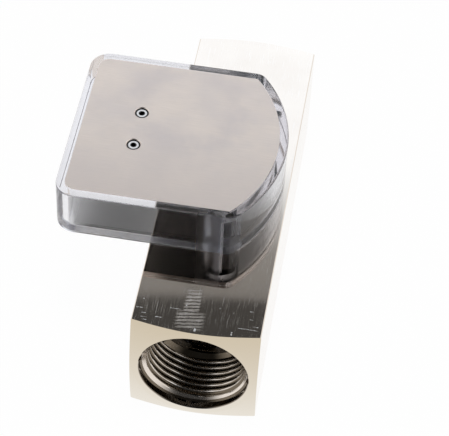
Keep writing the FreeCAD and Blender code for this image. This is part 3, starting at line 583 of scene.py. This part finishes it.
ALONG_FLOW = (0.0, 1.0, 0.0)


def new_edges(bm, before):
    """Edges made since the set before was taken."""
    return [edge for edge in bm.edges if edge not in before]


def swing(bm, vert, centre, angle, steps):
    """Draw an arc of edges from a vertex about an upright line. Returns its last vertex."""
    spun = bmesh.ops.spin(bm, geom=[vert], cent=(centre.x, centre.y, vert.co.z), axis=(0.0, 0.0, 1.0),
                          angle=angle, steps=steps)
    return spun["geom_last"][0]


def round_corners(bm, verts, offset):
    """Round corners of a loop, each starting this far from the corner."""
    bmesh.ops.bevel(bm, geom=verts, offset=offset, offset_type="OFFSET", segments=CASE_CORNER_STEPS,
                    profile=0.5, affect="VERTICES", material=-1)


def close_round_back(bm, first, last, inset):
    """Join the ends of a row of edges round the straight back of the case."""
    corners = [bm.verts.new((CASE_BACK + inset, side * (CASE_HALF - inset), first.co.z)) for side in (1, -1)]
    for pair in ((last, corners[0]), corners, (corners[1], first)):
        bm.edges.new(pair)
    round_corners(bm, corners, CASE_BACK_CORNER - inset)


def d_outline(bm, inset, z, arc_corner):
    """Closed D-shaped loop of edges: an arc spun about the pivot, straight sides, and rounded corners."""
    before = set(bm.edges)
    half = CASE_HALF - inset
    arc = CASE_ARC - inset
    half_angle = math.asin(half / arc)
    first = bm.verts.new((PIVOT.x + arc * math.cos(half_angle), -half, z))
    last = swing(bm, first, PIVOT, 2 * half_angle, CASE_ARC_STEPS)
    close_round_back(bm, first, last, inset)
    round_corners(bm, [first, last], arc_corner * math.tan(math.pi / 4 - half_angle / 2))
    return new_edges(bm, before)


def inner_outline(bm, inset, z):
    """Closed loop round the inside of the tray, set in from its wall. It bulges in round the two posts."""
    before = set(bm.edges)
    half = CASE_HALF - CASE_WALL - inset
    arc = CASE_ARC - CASE_WALL - inset
    post = POST_RADIUS + inset
    post_way = math.hypot(POST_REACH, POST_HALF)
    beside = math.acos((post_way ** 2 + arc ** 2 - post ** 2) / (2 * post_way * arc))
    arc_half_angle = math.atan2(POST_HALF, POST_REACH) - beside
    posts = [PIVOT + Vector((POST_REACH, side * POST_HALF, 0.0)) for side in (-1, 1)]
    at_arc = math.atan2(arc * math.sin(arc_half_angle) - POST_HALF,
                        arc * math.cos(arc_half_angle) - POST_REACH)
    at_wall = math.pi - math.asin((half - POST_HALF) / post)
    round_post = at_wall - at_arc - 2 * math.pi
    first = bm.verts.new((posts[0].x + post * math.cos(at_wall), -half, z))
    turn = swing(bm, first, posts[0], round_post, CASE_ARC_STEPS)
    turn = swing(bm, turn, PIVOT, 2 * arc_half_angle, CASE_ARC_STEPS)
    last = swing(bm, turn, posts[1], round_post, CASE_ARC_STEPS)
    close_round_back(bm, first, last, CASE_WALL + inset)
    return new_edges(bm, before)


def round_outline(bm, x, y, z, radius):
    """Closed round loop of edges."""
    before = set(bm.edges)
    bmesh.ops.create_circle(bm, segments=HOLE_STEPS, radius=radius, matrix=Matrix.Translation((x, y, z)))
    return new_edges(bm, before)


def height_of(loop):
    """Z of a level loop of edges."""
    return loop[0].verts[0].co.z


def set_satin(bm, before, roughness):
    """Note how rough the faces made since the set before was taken are. Those of the posts are rougher."""
    satin = bm.faces.layers.float["satin"]
    for face in bm.faces:
        if face not in before:
            middle = face.calc_center_median()
            from_post = math.hypot(middle.x - PIVOT.x - POST_REACH, abs(middle.y) - POST_HALF)
            on_post = abs(face.normal.z) < UPRIGHT_NORMAL and from_post < POST_RADIUS
            face[satin] = max(roughness, SATIN_POSTS) if on_post else roughness


def skin_loops(bm, loops):
    """Skin over a row of level loops: a flat ring between two of one height, a wall between others."""
    for first, second in zip(loops, loops[1:]):
        if abs(height_of(first) - height_of(second)) < MERGE_DISTANCE:
            bmesh.ops.triangle_fill(bm, edges=first + second, use_beauty=True)
        else:
            bmesh.ops.bridge_loops(bm, edges=first + second)


def quarter_round(radius, steps):
    """Points of a quarter circle, as distances from the two sides of a square corner."""
    angles = [math.pi / 2 * k / steps for k in range(steps + 1)]
    return [(radius * (1 - math.sin(angle)), radius * (1 - math.cos(angle))) for angle in angles]


def under_floor(tree, position):
    """1 on the underside of the case, away from its polished edge."""
    low = combine(tree, "LESS_THAN", part_of(tree, position, "Z"), CASE_LOW.z + 2 * CASE_BAR_GAP)
    from_back = combine(tree, "GREATER_THAN", part_of(tree, position, "X"), CASE_BACK + EDGE_POLISHED[1])
    mask = combine(tree, "MULTIPLY", low, from_back)
    for across, reach in ((ROUND_UPRIGHT, CASE_ARC), (ALONG_FLOW, CASE_HALF)):
        edge = (reach - EDGE_POLISHED[1], reach - EDGE_POLISHED[0])
        mask = combine(tree, "MULTIPLY", mask, near_axis(tree, position, PIVOT, across, edge))
    return mask


def corner_haze(tree, position):
    """1 on the hazy place at the arc's end of both end walls."""
    (haze_x, haze_z), (half_x, half_z) = CORNER_HAZE
    hazes = [place_group(tree, ZONE, Vector=position, Centre=(haze_x, side * CASE_HALF, haze_z),
                         Half=(half_x, CORNER_HAZE_DEPTH, half_z)) for side in (-1, 1)]
    return combine(tree, "MAXIMUM", hazes[0], hazes[1])


def make_clear_plastic():
    """Acrylic polished outside and satin inside, frosted in its holes and matt under its floor."""
    material, tree, shader, position = start_material(
        "clear_plastic", Transmission_Weight=1.0, IOR=CASE_IOR, Metallic=0.0)
    tint = place_group(tree, CLOUDS, Vector=position, Scale=CASE_CLOUD_SCALE, Pale=CASE_PALE, Deep=CASE_DEEP)
    satin = add_node(tree, "Attribute", attribute_name="satin").outputs["Fac"]
    frost = remap(tree, satin, (FROST_FROM, SATIN_HOLES))
    tree.links.new(mix_colours(tree, frost, tint, CASE_FROSTED), shader.inputs["Base Color"])
    grain = place_group(tree, GRAIN, Vector=position, Stretch=CASE_GRAIN_STRETCH)
    rough = remap(tree, grain, WHOLE, (0.0, CASE_POLISHED))
    matt = combine(tree, "MULTIPLY", under_floor(tree, position), SATIN_UNDER_FLOOR)
    hazy = combine(tree, "MULTIPLY", corner_haze(tree, position), SATIN_CORNER)
    for rougher in (satin, matt, hazy):
        rough = combine(tree, "MAXIMUM", rough, rougher)
    tree.links.new(rough, shader.inputs["Roughness"])
    add_bump(tree, shader, grain, CASE_RIPPLE, CASE_RIPPLE_DEPTH)
    depth = add_node(tree, "VolumeAbsorption", {"Color": CASE_DEPTH_TINT, "Density": CASE_DEPTH_SHARE})
    tree.links.new(depth.outputs[0], tree.nodes["Material Output"].inputs["Volume"])
    return material


def add_post_holes(bm, ledge_z, under_z):
    """Stepped holes for the case screws, down through the posts. Returns their upper and lower rims."""
    upper = []
    lower = []
    seat_z = ledge_z - WASHER_DEPTH
    for y in (-POST_HALF, POST_HALF):
        hole = [round_outline(bm, PIVOT.x + POST_REACH, y, z, radius) for z, radius in (
            (ledge_z, WASHER_HOLE), (seat_z, WASHER_HOLE), (seat_z, CASE_SCREW_HOLE),
            (under_z, CASE_SCREW_HOLE))]
        skin_loops(bm, hole)
        upper += hole[0]
        lower += hole[-1]
    return upper, lower


def add_bosses(bm, floor_z, ledge_z):
    """Bosses with blind holes for the plate's screws and the pivot pin. Returns the rims at their feet."""
    bosses = [(y, PLATE_BOSS, ledge_z, PLATE_SCREW_HOLE, PLATE_HOLE_DEPTH) for y in PLATE_SCREWS]
    bosses.append((PIVOT.y, PIN_BOSS, floor_z + PIN_BOSS_HEIGHT, PIN_HOLE, PIN_HOLE_DEPTH))
    feet = []
    for y, radius, z, hole_radius, depth in bosses:
        boss = [round_outline(bm, PIVOT.x, y, level, size) for level, size in (
            (floor_z, radius), (z, radius), (z, hole_radius), (z - depth, hole_radius))]
        skin_loops(bm, boss)
        bmesh.ops.edgeloop_fill(bm, edges=boss[-1])
        feet += boss[0]
    return feet


def make_clear_case():
    """The tray as one closed skin, from the underside up over the lip and down to the inner floor."""
    bm = bmesh.new()
    bm.faces.layers.float.new("satin")
    under_z = CASE_LOW.z + CASE_BAR_GAP
    floor_z = CASE_LOW.z + CASE_FLOOR
    top_z = CASE_HIGH.z
    ledge_z = top_z - PLATE_THICKNESS
    lip_round = quarter_round(CASE_LIP_ROUND, CASE_LIP_STEPS)
    small_round = quarter_round(CASE_SMALL_ROUND, CASE_SMALL_STEPS)
    outside = [d_outline(bm, inset, under_z + rise, CASE_ARC_CORNER - inset) for inset, rise in small_round]
    outside += [d_outline(bm, inset, top_z - drop, CASE_ARC_CORNER - inset) for drop, inset in lip_round]
    outside.append(d_outline(bm, CASE_LIP, top_z, CASE_SHARP_CORNER))
    skin_loops(bm, outside)
    done = set(bm.faces)
    seat = d_outline(bm, CASE_LIP, ledge_z, CASE_SHARP_CORNER)
    inside = [inner_outline(bm, 0.0, ledge_z)]
    inside += [inner_outline(bm, inset, floor_z + rise) for inset, rise in reversed(small_round)]
    skin_loops(bm, [outside[-1], seat])
    skin_loops(bm, inside)
    set_satin(bm, done, SATIN_INSIDE)

    done = set(bm.faces)
    upper_rims, lower_rims = add_post_holes(bm, ledge_z, under_z)
    boss_feet = add_bosses(bm, floor_z, ledge_z)
    set_satin(bm, done, SATIN_HOLES)
    for edges, roughness in ((seat + inside[0] + upper_rims, SATIN_INSIDE),
                             (inside[-1] + boss_feet, SATIN_INSIDE), (outside[0] + lower_rims, SATIN_BELOW)):
        done = set(bm.faces)
        bmesh.ops.triangle_fill(bm, edges=edges, use_beauty=True)
        set_satin(bm, done, roughness)
    piece = finish_piece("clear_tray", bm, make_clear_plastic(), "meter")
    flat_walls = piece.modifiers.new("flat_walls", "WEIGHTED_NORMAL")
    flat_walls.keep_sharp = True
    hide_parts("clear_case")


make_clear_case()

# Case screws and washers
# Low socket-head screws, each on a plain washer, go down through the posts into tapped holes in the bar.
# They are of dull grey steel.
dull_steel = make_metal("dull_steel", pale=(0.62, 0.62, 0.65, 1.0), deep=(0.52, 0.52, 0.55, 1.0),
                        stretch=(2500.0, 2500.0, 2500.0), smooth=0.4, lined=0.55)
dress(["case_screws", "case_washers"], dull_steel)

# Pointer movement
# A steel pin stands in the case's boss. A brass hub turns on it, with a black folded arm riveted on that
# carries a bar magnet over the flow axis and a brass weight on its tail. A spring clip keeps the hub on.
pointer_black = make_plain("pointer_black", pale=(0.03, 0.03, 0.033, 1.0), deep=(0.02, 0.02, 0.022, 1.0),
                           speckle=3000.0, smooth=0.3, rough=0.42)
dress(["pivot_pin"], stainless)
dress(["pivot_washer"], white_bush)
dress(["pivot_clip"], spring_steel)
dress(["pointer_hub", "pointer_counterweight"], brass)
dress(["pointer_arm"], pointer_black)
dress(["pointer_magnet"], magnet_black)

# Dial plate and its screws
# Stainless sheet let into the lip, satin brushed across the case and left bare. Two countersunk socket screws
# hold it to the bosses.
PLATE_PALE = (0.885, 0.775, 0.69, 1.0)
PLATE_DEEP = (0.80, 0.71, 0.655, 1.0)
PLATE_CLOUD_SCALE = 70.0
PLATE_BRUSHED = (0.73, 0.64, 0.58, 1.0)
PLATE_GRAIN_STRETCH = (120.0, 5000.0, 5000.0)
PLATE_GRAIN_SHARE = 0.4
PLATE_GRAIN_BUMP = 0.08
PLATE_SMOOTH = 0.3
PLATE_LINED = 0.4
# Painted shade: the near part of the plate is coloured darker, for the dim side of the room that it reflects.
PLATE_NEAR_SHADE = (0.76, 0.66, 0.60, 1.0)
PLATE_NEAR_FROM = (0.0, -34.0 * MM)
PLATE_NEAR_SHARE = 0.75
# Painted shade: the downward face of the plate is coloured dark.
PLATE_UNDERSIDE_SHADE = (0.24, 0.23, 0.22, 1.0)
DOWNWARD_NORMAL = -0.5
WIPE_TINT = (0.74, 0.66, 0.625, 1.0)
WIPE_CENTRE = (-16.0 * MM, 13.0 * MM, 0.0)
WIPE_INNER = (11.0 * MM, 15.0 * MM)
WIPE_OUTER = (18.0 * MM, 24.0 * MM)
WIPE_STRETCH = (70.0, 70.0, 70.0)
# Painted shade for the gap round each screw head and for the screw sockets.
SINK_PAINTED_SHADE = (0.035, 0.033, 0.032, 1.0)
SINK_OUTER = (2.17 * MM, 2.27 * MM)
HEAD_PALE = (0.97, 0.95, 0.935, 1.0)
HEAD_DEEP = (0.87, 0.85, 0.835, 1.0)
HEAD_CLOUD_SCALE = 600.0
HEAD_GRAIN_STRETCH = (3000.0, 3000.0, 3000.0)
HEAD_SMOOTH = 0.3
HEAD_LINED = 0.45
HEAD_RIM = (1.62 * MM, 1.72 * MM)
HEAD_SOCKET = (0.98 * MM, 1.08 * MM)


def near_plate_screws(tree, position, edge):
    """1 within a radius of either screw that holds the plate."""
    masks = [near_axis(tree, position, (PIVOT.x, y, 0.0), ROUND_UPRIGHT, edge) for y in PLATE_SCREWS]
    return combine(tree, "MAXIMUM", masks[0], masks[1])


def wipe_mark(tree, position):
    """The curved mark of a cloth: a broken ring."""
    inner, outer = [near_axis(tree, position, WIPE_CENTRE, ROUND_UPRIGHT, edge)
                    for edge in (WIPE_INNER, WIPE_OUTER)]
    broken = place_group(tree, GRAIN, Vector=position, Stretch=WIPE_STRETCH)
    return combine(tree, "MULTIPLY", combine(tree, "SUBTRACT", outer, inner), broken)


def make_dial_steel():
    """Satin steel sheet: fine brushing, slow changes of tone, the mark of a cloth, painted shade towards the
    near edge, underneath and in the countersinks.
    """
    material, tree, shader, position = start_material("dial_steel", Metallic=1.0)
    tint = place_group(tree, CLOUDS, Vector=position, Scale=PLATE_CLOUD_SCALE, Pale=PLATE_PALE,
                       Deep=PLATE_DEEP)
    # Painted shade towards the near edge.
    near = remap(tree, part_of(tree, position, "Y"), PLATE_NEAR_FROM, (0.0, PLATE_NEAR_SHARE))
    near_shaded = mix_colours(tree, near, tint, PLATE_NEAR_SHADE)
    wiped = mix_colours(tree, wipe_mark(tree, position), near_shaded, WIPE_TINT)
    grain = place_group(tree, GRAIN, Vector=position, Stretch=PLATE_GRAIN_STRETCH)
    lines = combine(tree, "MULTIPLY", grain, PLATE_GRAIN_SHARE)
    brushed = mix_colours(tree, lines, wiped, PLATE_BRUSHED)
    # Painted shade on the plate's underside.
    facing = part_of(tree, add_node(tree, "TexCoord").outputs["Normal"], "Z")
    below = combine(tree, "LESS_THAN", facing, DOWNWARD_NORMAL)
    underside_shaded = mix_colours(tree, below, brushed, PLATE_UNDERSIDE_SHADE)
    # Painted shade in the ring of each countersink round its screw head.
    countersink_shade = combine(tree, "SUBTRACT", near_plate_screws(tree, position, SINK_OUTER),
                          near_plate_screws(tree, position, HEAD_RIM))
    tree.links.new(mix_colours(tree, countersink_shade, underside_shaded, SINK_PAINTED_SHADE), shader.inputs["Base Color"])
    add_roughness(tree, shader, grain, PLATE_SMOOTH, PLATE_LINED)
    add_bump(tree, shader, grain, PLATE_GRAIN_BUMP, GRAIN_DEPTH)
    return material


def make_screw_steel():
    """Bright turned screw head, with painted shade in its socket and down its cone."""
    material, tree, shader, position = start_material("screw_steel", Metallic=1.0)
    tint = place_group(tree, CLOUDS, Vector=position, Scale=HEAD_CLOUD_SCALE, Pale=HEAD_PALE, Deep=HEAD_DEEP)
    # Painted shade in the socket and down the cone; the head's face between them keeps its tint.
    face = combine(tree, "SUBTRACT", near_plate_screws(tree, position, HEAD_RIM),
                   near_plate_screws(tree, position, HEAD_SOCKET))
    tree.links.new(mix_colours(tree, face, SINK_PAINTED_SHADE, tint), shader.inputs["Base Color"])
    grain = place_group(tree, GRAIN, Vector=position, Stretch=HEAD_GRAIN_STRETCH)
    add_roughness(tree, shader, grain, HEAD_SMOOTH, HEAD_LINED)
    return material


dress(["dial_plate"], make_dial_steel())
dress(["dial_plate_screws"], make_screw_steel())

# Floor
# A plain white table that runs on behind the object. It shows white to the eye, in mirrors and in the case's
# solid walls, and keeps a soft shadow of the object.
FLOOR_HALF = 4.0
FLOOR_GAP = 0.05 * MM
FLOOR_COLOUR = (0.42, 0.42, 0.42, 1.0)
FLOOR_WHITE_TO_EYE = 0.985
FLOOR_WHITE_IN_METAL = 1.0
FLOOR_WHITE_IN_WALLS = 0.9
WALL_SURFACES = 2.5         # a ray that went through one wall has crossed two surfaces
NO_BOUNCE = 0.5             # a ray that met no matt surface has a depth of 0
WHITE = (1.0, 1.0, 1.0, 1.0)


def make_floor_white():
    """Matt white that takes shadows, mixed with plain white for the rays that show the ground."""
    material, tree, shader = start_material(
        "floor_white", Base_Color=FLOOR_COLOUR, Roughness=1.0, Specular_IOR_Level=0.0)[:3]
    path = add_node(tree, "LightPath").outputs
    through = path["Is Transmission Ray"]
    mirrored = combine(tree, "SUBTRACT", path["Is Glossy Ray"], through)
    one_wall = combine(tree, "LESS_THAN", path["Transmission Depth"], WALL_SURFACES)
    in_wall = combine(tree, "MULTIPLY", through, one_wall)
    share = combine(tree, "MULTIPLY", path["Is Camera Ray"], FLOOR_WHITE_TO_EYE)
    for ray, white in ((mirrored, FLOOR_WHITE_IN_METAL), (in_wall, FLOOR_WHITE_IN_WALLS)):
        share = combine(tree, "MAXIMUM", share, combine(tree, "MULTIPLY", ray, white))
    direct = combine(tree, "LESS_THAN", path["Diffuse Depth"], NO_BOUNCE)
    share = combine(tree, "MULTIPLY", share, direct)
    glow = add_node(tree, "Emission", {"Color": WHITE, "Strength": 1.0})
    mixed = add_node(tree, "MixShader", {0: share, 1: shader.outputs[0], 2: glow.outputs[0]})
    tree.links.new(mixed.outputs[0], tree.nodes["Material Output"].inputs["Surface"])
    return material


def make_floor():
    """One large square just below the bar."""
    bm = bmesh.new()
    bmesh.ops.create_grid(bm, x_segments=1, y_segments=1, size=FLOOR_HALF,
                          matrix=Matrix.Translation((0.0, 0.0, -FLOOR_GAP)))
    mesh = bpy.data.meshes.new("floor")
    bm.to_mesh(mesh)
    bm.free()
    mesh.materials.append(make_floor_white())
    floor = bpy.data.objects.new("floor", mesh)
    bpy.context.scene.collection.objects.link(floor)


make_floor()

# Light
# A large soft box overhead lights the object. Mirrors and clear plastic also show the room: a white sweep
# behind and beside the object that ends below a darker ceiling, and a dim place where the camera stands.
SWEEP = (                   # elevation in degrees, and brightness
    (0.0, 1.0), (36.0, 1.0), (41.0, 1.42), (46.5, 1.42), (49.2, 0.29), (51.0, 0.25), (55.0, 0.25),
    (63.0, 1.42))
SWEEP_BRIGHTEST = 1.42
SWEEP_PLAIN = (1.0, 1.0, 1.0)
SWEEP_COOL = (0.88, 0.95, 1.04)
SWEEP_TOP = (50.62, 50.72)
CEILING_DIM = 0.26
SWEEP_OPENING = (-0.9, -0.6)
ROOM_DIM = 0.06
FILL = 0.05
SOFT_BOX_HEIGHT = 1.3
SOFT_BOX_SIZE = 0.3
SOFT_BOX_WATTS = 22.0
LIGHT_BOUNCES = 40


def rise_at(elevation):
    """Z of a direction at an elevation in degrees."""
    return math.sin(math.radians(elevation))


def make_sweep(tree):
    """The room as mirrors show it: banded by elevation, and dim towards the camera."""
    direction = add_node(tree, "SeparateXYZ", {0: add_node(tree, "TexCoord").outputs["Generated"]}).outputs
    ramp = add_node(tree, "ValToRGB", {0: direction["Z"]})
    stops = ramp.color_ramp.elements
    while len(stops) < len(SWEEP):
        stops.new(1.0)
    for stop, (elevation, brightness) in zip(stops, SWEEP):
        share = brightness / SWEEP_BRIGHTEST
        tint = SWEEP_COOL if brightness > 1.0 else SWEEP_PLAIN
        stop.position = rise_at(elevation)
        stop.color = (share * tint[0], share * tint[1], share * tint[2], 1.0)
    ceiling = remap(tree, direction["Z"], (rise_at(SWEEP_TOP[0]), rise_at(SWEEP_TOP[1])), (1.0, CEILING_DIM))
    rise_squared = combine(tree, "MULTIPLY", direction["Z"], direction["Z"])
    level = combine(tree, "SQRT", combine(tree, "SUBTRACT", 1.0, rise_squared))
    open_side = remap(tree, combine(tree, "DIVIDE", direction["Y"], level), SWEEP_OPENING,
                      (ROOM_DIM, SWEEP_BRIGHTEST), interpolation_type="SMOOTHSTEP")
    return add_node(tree, "Background", {"Color": ramp.outputs["Color"],
                                         "Strength": combine(tree, "MULTIPLY", open_side, ceiling)})


def make_room():
    """World that fills in softly, and shows the sweep to mirrors and clear plastic and white to the eye."""
    world = bpy.data.worlds.new("studio")
    bpy.context.scene.world = world
    world.use_nodes = True
    world.cycles.sampling_method = "NONE"
    tree = world.node_tree
    sweep = make_sweep(tree)
    fill = add_node(tree, "Background", {"Color": WHITE, "Strength": FILL})
    white = add_node(tree, "Background", {"Color": WHITE, "Strength": 1.0})
    path = add_node(tree, "LightPath").outputs
    clear = combine(tree, "MAXIMUM", path["Is Glossy Ray"], path["Is Transmission Ray"])
    direct = combine(tree, "LESS_THAN", path["Diffuse Depth"], NO_BOUNCE)
    clear = combine(tree, "MULTIPLY", clear, direct)
    shown = add_node(tree, "MixShader", {0: clear, 1: fill.outputs[0], 2: sweep.outputs[0]})
    seen = add_node(tree, "MixShader", {0: path["Is Camera Ray"], 1: shown.outputs[0], 2: white.outputs[0]})
    tree.links.new(seen.outputs[0], tree.nodes["World Output"].inputs["Surface"])


def make_soft_box():
    """Square lamp straight above the object."""
    lamp = bpy.data.lights.new("soft_box", "AREA")
    lamp.size = SOFT_BOX_SIZE
    lamp.energy = SOFT_BOX_WATTS
    soft_box = bpy.data.objects.new("soft_box", lamp)
    soft_box.location = (0.0, 0.0, SOFT_BOX_HEIGHT)
    soft_box.visible_glossy = False
    soft_box.visible_transmission = False
    bpy.context.scene.collection.objects.link(soft_box)


make_room()
make_soft_box()
bpy.context.scene.view_settings.view_transform = "Standard"
bpy.context.scene.cycles.max_bounces = LIGHT_BOUNCES
bpy.context.scene.cycles.transmission_bounces = LIGHT_BOUNCES
bpy.context.scene.cycles.glossy_bounces = LIGHT_BOUNCES

# Camera
# Set where the photograph was taken: a long lens above the outlet end, turned a little and tilted a little.
# Its angles are in radians, and its sensor and lens in millimetres.
CAMERA_PLACE = (48.575 * MM, -418.390 * MM, 492.750 * MM)
CAMERA_AZIMUTH = -0.1170
CAMERA_ELEVATION = 0.8426
CAMERA_ROLL = -0.0564
CAMERA_SENSOR = 36.0
CAMERA_LENS = 153.1


def make_camera():
    """Long lens that looks along the bar from above."""
    data = bpy.data.cameras.new("camera")
    data.sensor_width = CAMERA_SENSOR
    data.lens = CAMERA_LENS
    camera = bpy.data.objects.new("camera", data)
    ahead = Vector((math.sin(CAMERA_AZIMUTH) * math.cos(CAMERA_ELEVATION),
                    math.cos(CAMERA_AZIMUTH) * math.cos(CAMERA_ELEVATION), -math.sin(CAMERA_ELEVATION)))
    level = Vector((math.cos(CAMERA_AZIMUTH), -math.sin(CAMERA_AZIMUTH), 0.0))
    down = ahead.cross(level)
    right = math.cos(CAMERA_ROLL) * level + math.sin(CAMERA_ROLL) * down
    up = math.sin(CAMERA_ROLL) * level - math.cos(CAMERA_ROLL) * down
    turn = Matrix((right, up, -ahead)).transposed()
    camera.matrix_world = Matrix.Translation(CAMERA_PLACE) @ turn.to_4x4()
    bpy.context.scene.collection.objects.link(camera)
    bpy.context.scene.camera = camera


make_camera()
